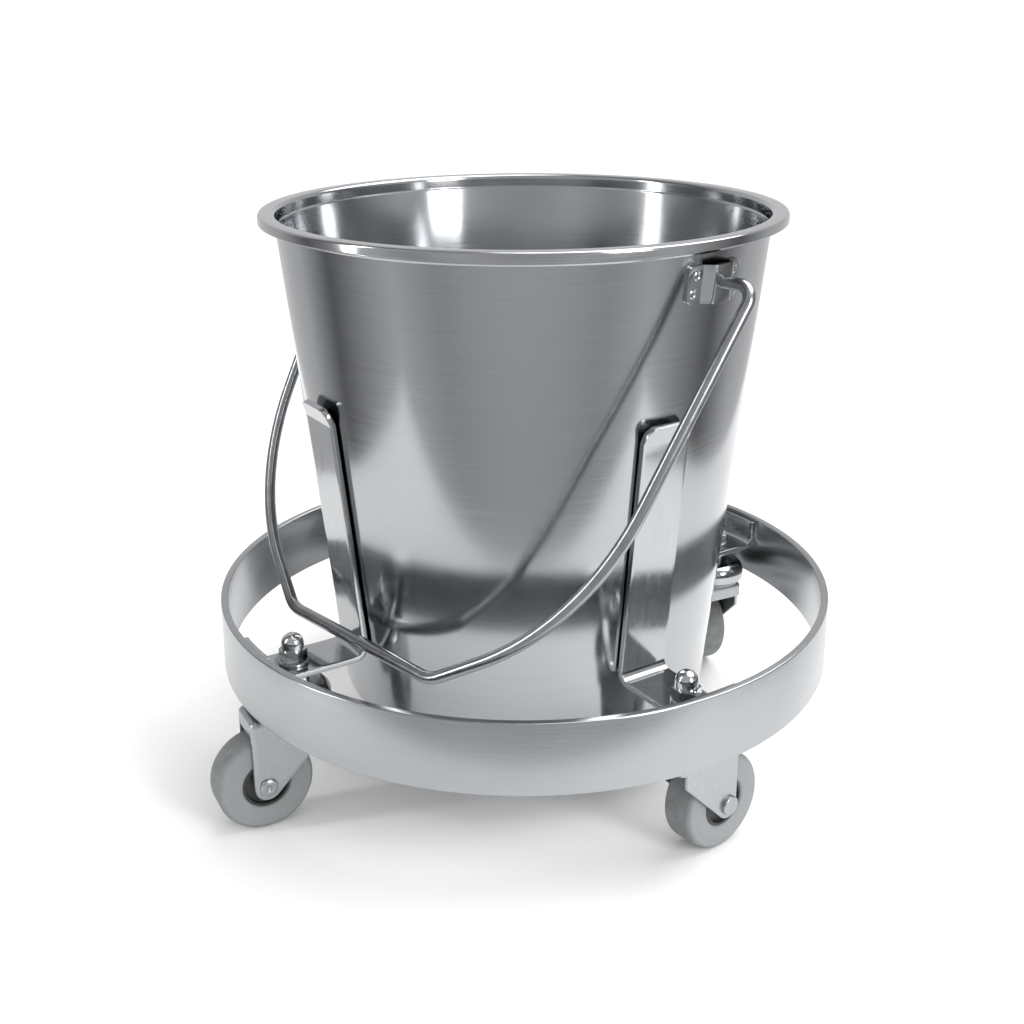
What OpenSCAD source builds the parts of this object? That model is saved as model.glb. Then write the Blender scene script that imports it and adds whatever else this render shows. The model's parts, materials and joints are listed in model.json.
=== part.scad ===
// Stainless-steel pail carried in a round castor frame.
// Millimetres, +Z up. The origin is on the floor, on the axis of the ring and of the pail.
// The four brackets stand a quarter turn apart, and the pail wedges by its taper between them.

/* [Pail] */
// Outside diameter of the turned-out rim
rim_d = 280; // [260:1:300]
// Outside diameter of the tapered wall, carried up to the height of the rim
wall_top_d = 264; // [250:1:270]
// Outside diameter of the wall at the base
base_d = 206; // [190:1:220]
// Height of the pail from its base to the top of the rim
pail_h = 270; // [250:1:290]
// Height of the base above the floor
pail_z = 46; // [40:1:60]
// Thickness of the pail's sheet
pail_t = 1; // [0.8:0.1:1.5]
// Height of the rim's turned-down edge
rim_edge_h = 4.6; // [4:0.2:7]

/* [Frame] */
// Outside diameter of the flat-bar ring
ring_d = 344; // [336:1:360]
// Height of the flat bar
ring_h = 38; // [30:1:44]
// Thickness of the flat bar
ring_t = 4; // [3:0.5:5]
// Height of the ring's top edge above the floor
ring_top = 104; // [100:1:110]
// Width of each bracket's strip
strip_w = 28; // [24:1:32]
// Thickness of each bracket's strip
strip_t = 3; // [2:0.5:4]
// Height of the tab's upper face above the floor
tab_top = 88; // [84:1:92]
// Height of the tip of each bracket's post above the floor
post_top = 227; // [200:1:240]
// Diameter of the circle through the four castor stems
stem_circle_d = 291; // [280:1:296]
// Direction of the first bracket, anticlockwise from +X
first_bracket = -56.5; // [-90:0.5:0]

/* [Bail] */
// Wire diameter of the bail
wire_d = 6.3; // [4:0.1:7]
// Direction of the right-hand ear, anticlockwise from +X
ear_dir = -46; // [-60:1:-40]
// Height of the bail's pivots above the floor
pivot_z = 294; // [285:1:298]
// Half the bail's widest span, to the wire's middle
bail_half = 153; // [150:0.5:156]
// Drop from the pivots to the middle of the grip
bail_drop = 227; // [220:1:230]
// Half the length of the grip between its two bends
grip_half = 51.6; // [46:0.2:56]
// Angle at which the hanging bail leans on a post, from straight down
bail_lean = 32; // [32:0.5:40]

/* [Castors] */
// Wheel diameter
wheel_d = 52; // [48:1:54]
// Width of the wheel's tread
wheel_w = 19; // [16:1:21]
// Distance from the swivel's axis back to the axle
trail = 21; // [20:1:24]
// Width over the fork's legs
fork_w = 25; // [24:1:28]
// Direction in which each wheel trails: front right, rear right, rear left, front left
headings = [40, 117, 75, -152];

/* [Hidden] */
front_right = 1;
rear_right = 2;
rear_left = 3;
front_left = 4;
$fn = 96;
eps = 0.01;

// Colours
steel = "#b4b6b8";
polished = "#c9cbcc";
fork_grey = "#a8aaac";
tyre_grey = "#8c8f90";
hub_dark = "#2c2e2f";

// Pail
rim_r = rim_d / 2;
wall_top_r = wall_top_d / 2;
base_r = base_d / 2;
collar_h = 8;      // straight collar under the rim
collar_step = 0.6; // the collar stands this far outside the taper
heel_r = 6;        // corner between the wall and the base
wall_rise = pail_h - collar_h;
taper = (wall_top_r - base_r) / pail_h;
lean = atan(taper);
function wall_r(z) = base_r + taper * (z - pail_z);

// Frame
ring_r = ring_d / 2;
ring_in = ring_r - ring_t;
ring_bottom = ring_top - ring_h;
stem_r = stem_circle_d / 2;
post_gap = 0.3;    // between the pail's wall and each post
bend_r = 4.5;      // inner radius of the bracket's bends
lip_h = 9;         // flared tip of each post
lip_out = 4;       // how far the tip flares out
corner_r = 6;      // rounded corners of the tip
tab_bottom = tab_top - strip_t;
flange_r = ring_in + 0.5;
flange_in = ring_in - strip_t;
flange_top = ring_top - 2;

// Fasteners
thread_d = 8;
hole_d = 8.4;
thread_bore = 8.1;
washer_d = 16;
washer_t = 1.6;
nut_af = 13;
nut_h = 6.5;
dome_r = 6;
dome_neck = 2.5;
nut_z = tab_top + washer_t;

// Bail
wire_r = wire_d / 2;
elbow_r = 8;       // bend from the pivot into the arm
arm_a = 6.5;       // slope of the arm's straight part, from the drop direction
arm_len = 105;     // length of that straight part
knee_r = 135;      // large curve of each arm
knee_a = 55;       // slope at its lower end
grip_bend_r = 20;
head_d = 8.8;      // upset head inside the ear
head_t = 1.5;
ear_rise = 6;      // height of the ear's raised face above the wall
ear_t = 1.5;
ear_h = 18;
ear_low = 285;     // height of the ear's lower edge
ear_half = 19;     // half the ear's length round the wall
crest_half = 6;
slope_half = 9.5;
pivot_bore = 6.4;
hair = 0.02;
seam = 0.2;

// Castors
wheel_r = wheel_d / 2;
leg_t = 2;
leg_in = fork_w / 2 - leg_t;
crown_z = 62;      // underside of the fork's crown
crown_t = 2;
skirt_z = 55;      // lower edge of the crown's end walls
crown_front = 14.5;
crown_back = 28.5;
crown_corner = 3;
leg_end_r = 7.5;   // round end of each leg, about the axle
race_r = 16;       // round race on top of the crown
race_h = 2;
journal_d = 10;
stem_head_d = 14;
stem_head_h = 1.6;
collar_af = 14;    // hexagon on the stem, under the tab
ball_r = 2.5;
ball_circle = 13;
balls = 12;
ball_z = crown_z + crown_t + race_h + 0.3 + ball_r;
cup_r = 19;
cup_t = 1.5;
cup_in_z = ball_z + ball_r + 0.05;
cup_round = 7.5;
cup_top = 78;
cup_lip = crown_z + crown_t + race_h + 0.8;
axle_d = 6;
axle_head_d = 10.5;
axle_head_h = 2;
sleeve_d = 8;
hub_bore = 8.1;
hub_boss_r = 6.5;
hub_boss_half = leg_in - 0.5;
hub_rim_in = 11.4;
hub_rim_r = 13;
tyre_round = 3;

// Points on an arc, from angle a to angle b
function arc(cx, cy, r, a, b, n = 6) =
    [for (i = [0 : n]) [cx + r * cos(a + (b - a) * i / n), cy + r * sin(a + (b - a) * i / n)]];

module at_stem(i) {
    rotate([0, 0, first_bracket + 90 * (i - 1)])
        translate([stem_r, 0, 0])
            rotate([0, 0, -first_bracket - 90 * (i - 1)])
                children();
}

// Castor frame of reference: swivel axis on Z, the wheel trails along +X
module at_castor(i) {
    at_stem(i) rotate([0, 0, headings[i - 1]]) children();
}

// ---- Frame ----

module ring_band() {
    edge = 0.6;
    color(steel)
        rotate_extrude($fn = 180)
            polygon([
                [ring_in + edge, ring_bottom], [ring_r - edge, ring_bottom],
                [ring_r, ring_bottom + edge], [ring_r, ring_top - edge],
                [ring_r - edge, ring_top], [ring_in + edge, ring_top],
                [ring_in, ring_top - edge], [ring_in, ring_bottom + edge]
            ]);
}

// Side outline of a bracket, radius against height
module bracket_outline() {
    slant = strip_t / cos(lean);
    post_z = post_top - lip_h;
    inner_r = wall_r(post_z) + post_gap;
    bend_z = tab_top + bend_r;
    bend_x = wall_r(bend_z) + post_gap + slant + bend_r / cos(lean);
    turn_x = flange_in - bend_r;
    outer_r = bend_r + strip_t;
    tip_r = inner_r + lip_out;
    polygon(concat(
        [[inner_r, post_z]],
        arc(bend_x, bend_z, outer_r, 180 - lean, 270),
        arc(turn_x, bend_z, outer_r, 270, 356),
        [[flange_r, bend_z], [flange_r, flange_top], [flange_in, flange_top]],
        arc(turn_x, bend_z, bend_r, 360, 270),
        arc(bend_x, bend_z, bend_r, 270, 180 - lean),
        [[inner_r + slant, post_z - 1], [tip_r + slant, post_top - 1], [tip_r, post_top]]
    ));
}

module bracket(i) {
    half = strip_w / 2;
    color(polished)
        rotate([0, 0, first_bracket + 90 * (i - 1)])
            difference() {
                intersection() {
                    rotate([90, 0, 0])
                        translate([0, 0, -half])
                            linear_extrude(strip_w) bracket_outline();
                    rotate([90, 0, 90])
                        translate([0, 0, stem_r - 60])
                            linear_extrude(120) {
                                translate([-half, 0]) square([strip_w, post_top - corner_r]);
                                for (s = [-1, 1])
                                    translate([s * (half - corner_r), post_top - corner_r])
                                        circle(corner_r, $fn = 48);
                                translate([corner_r - half, 0])
                                    square([strip_w - 2 * corner_r, post_top]);
                            }
                    translate([0, 0, tab_bottom - 1]) cylinder(r = ring_in, h = post_top, $fn = 180);
                }
                translate([stem_r, 0, tab_bottom - 1]) cylinder(d = hole_d, h = strip_t + 2);
            }
}

module cap_nuts() {
    dome_z = nut_h + dome_neck;
    color(polished)
        for (i = [1 : 4])
            at_stem(i)
                translate([0, 0, nut_z])
                    difference() {
                        union() {
                            intersection() {
                                cylinder(d = nut_af / cos(30), h = nut_h, $fn = 6);
                                rotate_extrude()
                                    polygon([
                                        [0, 0], [nut_af / 2, 0], [nut_af / 2 + 1, 0.6],
                                        [nut_af / 2 + 1, nut_h - 0.6], [nut_af / 2, nut_h], [0, nut_h]
                                    ]);
                            }
                            translate([0, 0, nut_h - eps]) cylinder(r = dome_r, h = dome_neck + eps);
                            rotate_extrude()
                                polygon(concat([[0, nut_h]], arc(0, dome_z, dome_r, 0, 90, 12)));
                        }
                        translate([0, 0, -1]) cylinder(d = thread_bore, h = 10);
                    }
}

module flat_washers() {
    color(steel)
        for (i = [1 : 4])
            at_stem(i)
                translate([0, 0, tab_top])
                    difference() {
                        cylinder(d = washer_d, h = washer_t);
                        translate([0, 0, -1]) cylinder(d = hole_d, h = washer_t + 2);
                    }
}

// ---- Castors ----

module castor_stem(i) {
    head_z = crown_z - 0.3;
    color(steel)
        at_castor(i) {
            translate([0, 0, head_z - stem_head_h]) cylinder(d = stem_head_d, h = stem_head_h);
            translate([0, 0, head_z - eps]) cylinder(d = journal_d, h = cup_in_z - head_z);
            translate([0, 0, cup_in_z - 1]) cylinder(d = thread_d, h = nut_z + 9 - cup_in_z);
            translate([0, 0, cup_top])
                cylinder(d = collar_af / cos(30), h = tab_bottom - cup_top, $fn = 6);
        }
}

module swivel_cup(i) {
    inner = cup_r - cup_t;
    color(polished)
        at_castor(i)
            rotate_extrude()
                polygon(concat(
                    [[thread_bore / 2, cup_in_z], [thread_bore / 2, cup_top]],
                    arc(cup_r - cup_round, cup_top - cup_round, cup_round, 90, 0, 8),
                    [[cup_r, cup_lip], [inner, cup_lip], [inner, cup_in_z]]
                ));
}

module swivel_balls(i) {
    color(polished)
        at_castor(i)
            for (k = [0 : balls - 1])
                rotate([0, 0, k * 360 / balls])
                    translate([ball_circle, 0, ball_z]) sphere(ball_r, $fn = 24);
}

// Crown seen from above, drawn this far inside its edge
module crown_outline(inset) {
    side = fork_w / 2 - inset;
    corner = crown_corner - inset;
    middle = crown_back - crown_corner;
    front = crown_corner - crown_front;
    translate([front, -side]) square([middle - front, 2 * side]);
    translate([inset - crown_front, corner - side])
        square([crown_back + crown_front - 2 * inset, 2 * (side - corner)]);
    for (x = [front, middle])
        for (s = [-1, 1])
            translate([x, s * (side - corner)]) circle(corner);
}

// One leg from the side: a round end about the axle, upright behind it and slanting in front
module leg_outline() {
    lead = -leg_end_r * cos(45);
    rise = crown_z - wheel_r;
    front = -crown_front - trail;
    circle(leg_end_r);
    polygon([
        [leg_end_r, 0], [leg_end_r, rise], [front, rise], [front, 2 * lead - front],
        [lead, lead], [0, 0]
    ]);
}

module castor_fork(i) {
    color(fork_grey)
        at_castor(i)
            difference() {
                union() {
                    translate([0, 0, crown_z])
                        linear_extrude(crown_t) {
                            crown_outline(0);
                            circle(race_r + 0.5);
                        }
                    translate([0, 0, skirt_z])
                        linear_extrude(crown_z - skirt_z + eps)
                            difference() {
                                crown_outline(0);
                                crown_outline(leg_t);
                            }
                    translate([0, 0, crown_z + crown_t - eps]) cylinder(r = race_r, h = race_h + eps);
                    intersection() {
                        translate([0, 0, 10]) linear_extrude(crown_z - 10 + eps) crown_outline(0);
                        for (s = [-1, 1])
                            translate([trail, s * (leg_in + leg_t / 2), wheel_r])
                                rotate([90, 0, 0])
                                    translate([0, 0, -leg_t / 2]) linear_extrude(leg_t) leg_outline();
                    }
                }
                translate([0, 0, crown_z - 1])
                    cylinder(d = journal_d + 0.1, h = crown_t + race_h + 2);
                translate([trail, fork_w, wheel_r])
                    rotate([90, 0, 0]) cylinder(d = axle_d + 0.04, h = 2 * fork_w);
            }
}

// The factory head is on one side of the fork; the other end is rolled over, with a dimple
module axle_rivet(i) {
    head_r = axle_head_d / 2;
    color(polished)
        at_castor(i)
            translate([trail, 0, wheel_r])
                rotate([90, 0, 0]) {
                    translate([0, 0, -fork_w / 2 - eps]) cylinder(d = axle_d, h = fork_w + 2 * eps);
                    translate([0, 0, fork_w / 2])
                        rotate_extrude()
                            polygon([
                                [0, 0], [head_r, 0], [head_r, axle_head_h - 0.5],
                                [head_r - 0.5, axle_head_h], [0, axle_head_h]
                            ]);
                    mirror([0, 0, 1])
                        translate([0, 0, fork_w / 2])
                            rotate_extrude()
                                polygon([
                                    [0, 0], [head_r - 0.3, 0], [head_r - 0.3, 0.8], [head_r - 1.2, 1.6],
                                    [2.2, 1.8], [1.4, 0.9], [0, 0.7]
                                ]);
                }
}

module axle_sleeve(i) {
    half = leg_in - 0.02;
    color(steel)
        at_castor(i)
            translate([trail, half, wheel_r])
                rotate([90, 0, 0])
                    difference() {
                        cylinder(d = sleeve_d, h = 2 * half);
                        translate([0, 0, -1]) cylinder(d = axle_d + 0.1, h = 2 * half + 2);
                    }
}

module at_wheel(i) {
    at_castor(i) translate([trail, 0, wheel_r]) rotate([90, 0, 0]) children();
}

module wheel_hub(i) {
    bore_r = hub_bore / 2;
    rim_half = wheel_w / 2 - 0.5;
    web_half = wheel_w / 2 - 2.8;
    color(hub_dark)
        at_wheel(i)
            rotate_extrude()
                polygon([
                    [bore_r, -hub_boss_half], [hub_boss_r, -hub_boss_half], [hub_boss_r, -web_half],
                    [hub_rim_in, -web_half], [hub_rim_in, -rim_half], [hub_rim_r, -rim_half],
                    [hub_rim_r, rim_half], [hub_rim_in, rim_half], [hub_rim_in, web_half],
                    [hub_boss_r, web_half], [hub_boss_r, hub_boss_half], [bore_r, hub_boss_half]
                ]);
}

module wheel_tyre(i) {
    half = wheel_w / 2;
    seat = hub_rim_r + 0.02;
    color(tyre_grey)
        at_wheel(i)
            rotate_extrude()
                polygon(concat(
                    [[seat, half - 0.8], [seat, 0.8 - half], [seat + 0.8, -half]],
                    arc(wheel_r - tyre_round, tyre_round - half, tyre_round, 270, 360),
                    arc(wheel_r - tyre_round, half - tyre_round, tyre_round, 0, 90),
                    [[seat + 0.8, half]]
                ));
}

// ---- Pail ----

module pail_shell() {
    top = pail_h;
    neck_r = base_r + taper * wall_rise;
    collar_r = neck_r + collar_step;
    in_r = collar_r - pail_t;
    roll = 1.2;        // outer radius where the rim turns down
    shoulder = 2.4;    // rounded inner edge of the rim
    heel = base_r - heel_r * (1 / cos(lean) - taper);
    color(polished)
        translate([0, 0, pail_z])
            rotate_extrude($fn = 180)
                polygon(concat(
                    [[0, 0]],
                    arc(heel, heel_r, heel_r, 270, 360 - lean),
                    [
                        [neck_r, wall_rise], [collar_r, wall_rise + 1],
                        [collar_r, top - 2], [collar_r + 1, top - pail_t],
                        [rim_r - pail_t, top - pail_t], [rim_r - pail_t, top - rim_edge_h],
                        [rim_r, top - rim_edge_h]
                    ],
                    arc(rim_r - roll, top - roll, roll, 0, 90),
                    arc(in_r + shoulder, top - shoulder, shoulder, 90, 180),
                    [
                        [in_r, wall_rise + 1], [neck_r - pail_t, wall_rise]
                    ],
                    arc(heel, heel_r, heel_r - pail_t, 360 - lean, 270),
                    [[0, pail_t]]
                ));
}

// A pressed hat-section ear: two wings on the wall and a raised flat face with the pivot hole
module ear(dir) {
    wing = asin(ear_half / wall_top_r);
    foot = 0.02;
    low_r = wall_r(ear_low) + foot;
    high_r = wall_r(ear_low + ear_h) + foot;
    mid_r = wall_r(ear_low + ear_h / 2) + foot;
    sag = mid_r - sqrt(pow(mid_r, 2) - pow(slope_half, 2));
    color(polished)
        rotate([0, 0, dir])
            difference() {
                union() {
                    for (s = [0, 1])
                        mirror([0, s, 0])
                            rotate([0, 0, asin((slope_half - 2) / wall_top_r)])
                                rotate_extrude(angle = wing - asin((slope_half - 2) / wall_top_r))
                                    polygon([
                                        [low_r, ear_low], [low_r + ear_t, ear_low],
                                        [high_r + ear_t, ear_low + ear_h], [high_r, ear_low + ear_h]
                                    ]);
                    translate([mid_r, 0, ear_low + ear_h / 2])
                        rotate([0, lean, 0])
                            translate([0, 0, -ear_h / 2 / cos(lean)])
                                linear_extrude(ear_h / cos(lean))
                                    polygon([
                                        [-sag + 0.5, -slope_half], [ear_rise - ear_t, -crest_half + 1],
                                        [ear_rise - ear_t, crest_half - 1], [-sag + 0.5, slope_half],
                                        [-sag + ear_t + 0.3, slope_half + 0.8], [ear_rise, crest_half],
                                        [ear_rise, -crest_half], [-sag + ear_t + 0.3, -slope_half - 0.8]
                                    ]);
                }
                translate([mid_r + 2, 0, pivot_z])
                    rotate([0, 90, 0]) cylinder(d = pivot_bore, h = 20);
            }
}

// Straight wire from a point, in the bail's plane; the angle is measured from the drop direction.
// It is a hair thinner than the bends and runs a little way into them.
module wire(p, angle, length) {
    translate([p[0], p[1], 0])
        rotate([0, 0, angle])
            rotate([-90, 0, 0])
                translate([0, 0, -seam])
                    cylinder(r = wire_r - hair, h = length + 2 * seam, $fn = 24);
}

// Bent wire in the bail's plane, about a centre
module wire_arc(c, r, from, to) {
    translate([c[0], c[1], 0])
        rotate([0, 0, from])
            rotate_extrude(angle = to - from, $fn = 96)
                translate([r, 0]) circle(wire_r, $fn = 24);
}

// Half of the bail in its own plane: +X to one ear, +Y down towards the grip
module bail_side() {
    head_u = wall_r(pivot_z) + 1.5;
    elbow = [bail_half - elbow_r, elbow_r];
    arm_start = elbow + elbow_r * [cos(arm_a), sin(arm_a)];
    arm_end = arm_start + arm_len * [-sin(arm_a), cos(arm_a)];
    knee_c = arm_end - knee_r * [cos(arm_a), sin(arm_a)];
    knee_end = knee_c + knee_r * [cos(knee_a), sin(knee_a)];
    grip_c = [grip_half, bail_drop - grip_bend_r];
    grip_start = grip_c + grip_bend_r * [cos(knee_a), sin(knee_a)];
    translate([head_u, 0, 0]) rotate([0, 90, 0]) cylinder(d = head_d, h = head_t, $fn = 48);
    translate([head_u, 0, 0])
        rotate([0, 90, 0]) cylinder(r = wire_r - hair, h = elbow[0] - head_u + seam, $fn = 24);
    wire_arc(elbow, elbow_r, -90, arm_a);
    wire(arm_start, arm_a, arm_len);
    wire_arc(knee_c, knee_r, arm_a, knee_a);
    wire(knee_end, knee_a, norm(grip_start - knee_end));
    wire_arc(grip_c, grip_bend_r, knee_a, 90);
}

module bail_handle() {
    color(steel)
        translate([0, 0, pivot_z])
            rotate([0, 0, ear_dir])
                rotate([-90 - bail_lean, 0, 0]) {
                    bail_side();
                    mirror([1, 0, 0]) bail_side();
                    wire([grip_half, bail_drop], 90, 2 * grip_half);
                }
}

ring_band();
cap_nuts();
flat_washers();
bracket(front_right);  // bracket_front_right
bracket(rear_right);  // bracket_rear_right
bracket(rear_left);  // bracket_rear_left
bracket(front_left);  // bracket_front_left
castor_stem(front_right);  // castor_stem_front_right
castor_stem(rear_right);  // castor_stem_rear_right
castor_stem(rear_left);  // castor_stem_rear_left
castor_stem(front_left);  // castor_stem_front_left
swivel_cup(front_right);  // swivel_cup_front_right
swivel_cup(rear_right);  // swivel_cup_rear_right
swivel_cup(rear_left);  // swivel_cup_rear_left
swivel_cup(front_left);  // swivel_cup_front_left
swivel_balls(front_right);  // swivel_balls_front_right
swivel_balls(rear_right);  // swivel_balls_rear_right
swivel_balls(rear_left);  // swivel_balls_rear_left
swivel_balls(front_left);  // swivel_balls_front_left
castor_fork(front_right);  // castor_fork_front_right
castor_fork(rear_right);  // castor_fork_rear_right
castor_fork(rear_left);  // castor_fork_rear_left
castor_fork(front_left);  // castor_fork_front_left
axle_rivet(front_right);  // axle_rivet_front_right
axle_rivet(rear_right);  // axle_rivet_rear_right
axle_rivet(rear_left);  // axle_rivet_rear_left
axle_rivet(front_left);  // axle_rivet_front_left
axle_sleeve(front_right);  // axle_sleeve_front_right
axle_sleeve(rear_right);  // axle_sleeve_rear_right
axle_sleeve(rear_left);  // axle_sleeve_rear_left
axle_sleeve(front_left);  // axle_sleeve_front_left
wheel_hub(front_right);  // wheel_hub_front_right
wheel_hub(rear_right);  // wheel_hub_rear_right
wheel_hub(rear_left);  // wheel_hub_rear_left
wheel_hub(front_left);  // wheel_hub_front_left
wheel_tyre(front_right);  // wheel_tyre_front_right
wheel_tyre(rear_right);  // wheel_tyre_rear_right
wheel_tyre(rear_left);  // wheel_tyre_rear_left
wheel_tyre(front_left);  // wheel_tyre_front_left
pail_shell();
ear(ear_dir);  // ear_right
ear(ear_dir + 180);  // ear_left
bail_handle();
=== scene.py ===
# %% [markdown]
# # A steel pail in a rolling ring
# This lesson dresses a wash bucket: a tapered stainless pail that stands, wedged by its taper,
# between four upright strips on a flat-bar ring, which rolls on four small swivel castors.
# The solid frame, with its bodies and joints, is already made. Each visible piece is built
# again here with the rounded edges, bends and surface finish that make metal look like metal.

# %% Load the fixed frame
import bpy
import json
import math
from mathutils import Matrix, Vector


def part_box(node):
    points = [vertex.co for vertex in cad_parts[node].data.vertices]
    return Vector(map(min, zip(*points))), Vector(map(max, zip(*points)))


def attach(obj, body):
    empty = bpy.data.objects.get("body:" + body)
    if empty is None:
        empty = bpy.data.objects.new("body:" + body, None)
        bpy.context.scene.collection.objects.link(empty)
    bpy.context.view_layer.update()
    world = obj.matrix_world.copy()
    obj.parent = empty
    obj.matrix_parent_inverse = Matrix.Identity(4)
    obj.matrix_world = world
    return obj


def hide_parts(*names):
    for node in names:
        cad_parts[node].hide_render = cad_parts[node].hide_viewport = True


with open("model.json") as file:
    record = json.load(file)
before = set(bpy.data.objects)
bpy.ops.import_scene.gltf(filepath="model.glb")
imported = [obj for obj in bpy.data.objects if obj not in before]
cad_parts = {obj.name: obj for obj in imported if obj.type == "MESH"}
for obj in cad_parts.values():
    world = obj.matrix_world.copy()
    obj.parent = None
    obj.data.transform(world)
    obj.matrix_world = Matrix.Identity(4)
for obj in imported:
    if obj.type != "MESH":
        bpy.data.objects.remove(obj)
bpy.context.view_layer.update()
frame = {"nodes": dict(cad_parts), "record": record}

MM = 0.001
record = frame["record"]
joints = {joint["name"]: joint for joint in record["behaviour"]["joints"]}
CORNERS = ["front_right", "rear_right", "rear_left", "front_left"]

# %% [markdown]
# ## Sizes
# Places and outer sizes come from the frame's own boxes and joints, in millimetres, so a piece
# lands exactly where its solid is. The few sizes that no box can give, such as the thickness of
# a sheet or the radius of the wire, are named here.

# %% Read the main sizes
def span(node):
    low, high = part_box(node)
    return [value / MM for value in low], [value / MM for value in high]


pail_low, pail_high = span("pail_shell")
ring_low, ring_high = span("ring_band")
nut_low, nut_high = span("cap_nuts")
washer_low, washer_high = span("flat_washers")
ear_low, ear_high = span("ear_right")
BASE_Z = pail_low[2]
TOP_Z = pail_high[2]
RIM_R = pail_high[0]
MOUTH_R = 132.0
BASE_R = 103.0
SHEET = 1.0
RIM_EDGE = 4.6
TAPER = (MOUTH_R - BASE_R) / (TOP_Z - BASE_Z)
LEAN = math.atan(TAPER)
RING_R = ring_high[0]
RING_T = 4.0
RING_TOP = ring_high[2]
RING_LOW = ring_low[2]
STRIP_T = 3.0
STRIP_W = 28.0
TAB_TOP = washer_low[2]
POST_GAP = 0.3
WIRE_R = 3.15
print("pail", BASE_Z, "to", TOP_Z, "ring", RING_LOW, "to", RING_TOP, "tab", TAB_TOP)


def wall_r(z):
    """Outside radius of the pail's wall at a height."""
    return BASE_R + TAPER * (z - BASE_Z)


# %% [markdown]
# ## Three shape helpers
# Sheet-metal outlines are straight runs joined by arcs, so one helper rounds the corners of any
# outline. A second turns an outline round the Z axis, as a spinning lathe does. The third makes
# a tidy mesh object with its faces pointing outwards, since a light needs to know which way is out.

# %% Round the corners of an outline
def rounded(corners, closed=False, turn=12.0):
    """Points along an outline of corners (x, y, radius), one about every turn degrees of a bend."""
    points = []
    count = len(corners)
    for i, (x, y, radius) in enumerate(corners):
        here = Vector((x, y))
        if radius <= 0 or (not closed and i in (0, count - 1)):
            points.append((x, y))
            continue
        back = Vector(corners[i - 1][:2]) - here
        ahead = Vector(corners[(i + 1) % count][:2]) - here
        back.normalize()
        ahead.normalize()
        half = back.angle(ahead) / 2
        reach = radius / math.tan(half)
        centre = here + (back + ahead).normalized() * radius / math.sin(half)
        start = here + back * reach - centre
        sweep = math.pi - 2 * half
        side = 1 if back.x * ahead.y - back.y * ahead.x < 0 else -1
        steps = max(2, math.ceil(math.degrees(sweep) / turn))
        for k in range(steps + 1):
            angle = side * sweep * k / steps
            c, s = math.cos(angle), math.sin(angle)
            spoke = Vector((start.x * c - start.y * s, start.x * s + start.y * c))
            points.append(tuple(centre + spoke))
    return points


# %% Make a mesh object
import bmesh

SHARP = 38.0


def solid(name, points, faces, place=None, smooth=SHARP, outward=True):
    """A mesh object from points in millimetres, moved by a matrix that is in millimetres too."""
    mesh = bpy.data.meshes.new(name)
    if place is not None:
        points = [place @ Vector(p) for p in points]
    mesh.from_pydata([[v * MM for v in p] for p in points], [], faces)
    tool = bmesh.new()
    tool.from_mesh(mesh)
    bmesh.ops.remove_doubles(tool, verts=tool.verts, dist=1e-6)
    bmesh.ops.dissolve_degenerate(tool, edges=tool.edges, dist=1e-7)
    if outward:
        bmesh.ops.recalc_face_normals(tool, faces=tool.faces)
    tool.to_mesh(mesh)
    tool.free()
    mesh.validate()
    mesh.shade_smooth()
    mesh.set_sharp_from_angle(angle=math.radians(smooth))
    thing = bpy.data.objects.new(name, mesh)
    bpy.context.scene.collection.objects.link(thing)
    return thing


def turned(outline, segments=96, shape=None):
    """Points and faces of an outline of (radius, height) turned round Z.

    The outline is a closed loop, or it starts and ends on the axis. shape(angle, height) may
    cap the radius, which gives a nut its flats.
    """
    points = []
    for k in range(segments):
        angle = 2 * math.pi * k / segments
        for radius, height in outline:
            r = min(radius, shape(angle, height)) if shape else radius
            points.append((r * math.cos(angle), r * math.sin(angle), height))
    rows = len(outline)
    faces = []
    for k in range(segments):
        for j in range(rows):
            a, b = j, (j + 1) % rows
            if outline[a][0] < 1e-6 and outline[b][0] < 1e-6:
                continue
            n = (k + 1) % segments
            faces.append((k * rows + a, n * rows + a, n * rows + b, k * rows + b))
    return points, faces


def joined(*parts):
    """Several lists of points and faces as one."""
    points, faces = [], []
    for more, polygons in parts:
        faces += [tuple(i + len(points) for i in polygon) for polygon in polygons]
        points += list(more)
    return points, faces


# %% [markdown]
# ## Finishes
# Steel's colour hardly changes from piece to piece: what the eye reads is how it was finished.
# A spun and polished wall has fine rings that smear a reflection up and down. A flat bar is
# satin, a pressed and plated fork is slightly grainy, and a domed nut is nearly a mirror.
# Each finish below starts from bare metal and differs in the size and direction of its grain.

# %% Colour and node helpers
def colour(text):
    """Linear colour from an sRGB hex value."""
    parts = [int(text[i:i + 2], 16) / 255 for i in (1, 3, 5)]
    linear = [p / 12.92 if p <= 0.04045 else ((p + 0.055) / 1.055) ** 2.4 for p in parts]
    return (*linear, 1.0)


def add(tree, kind, inputs=None, **settings):
    """Adds a node, with its settings, its input values and the links into it."""
    node = tree.nodes.new(kind)
    for key, value in settings.items():
        setattr(node, key, value)
    for key, value in (inputs or {}).items():
        if isinstance(value, bpy.types.NodeSocket):
            tree.links.new(value, node.inputs[key])
        else:
            node.inputs[key].default_value = value
    return node


def finish(name):
    """A new material with its tree, its shader and its place coordinates."""
    material = bpy.data.materials.new(name)
    material.use_nodes = True
    tree = material.node_tree
    shader = tree.nodes["Principled BSDF"]
    place = add(tree, "ShaderNodeTexCoord").outputs["Object"]
    return material, tree, shader, place


# %% Grained steel
# a Mix node holds sockets for every kind of value: these are the two colours and their mixture
MIX_A, MIX_B, MIXED = 6, 7, 2


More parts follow.
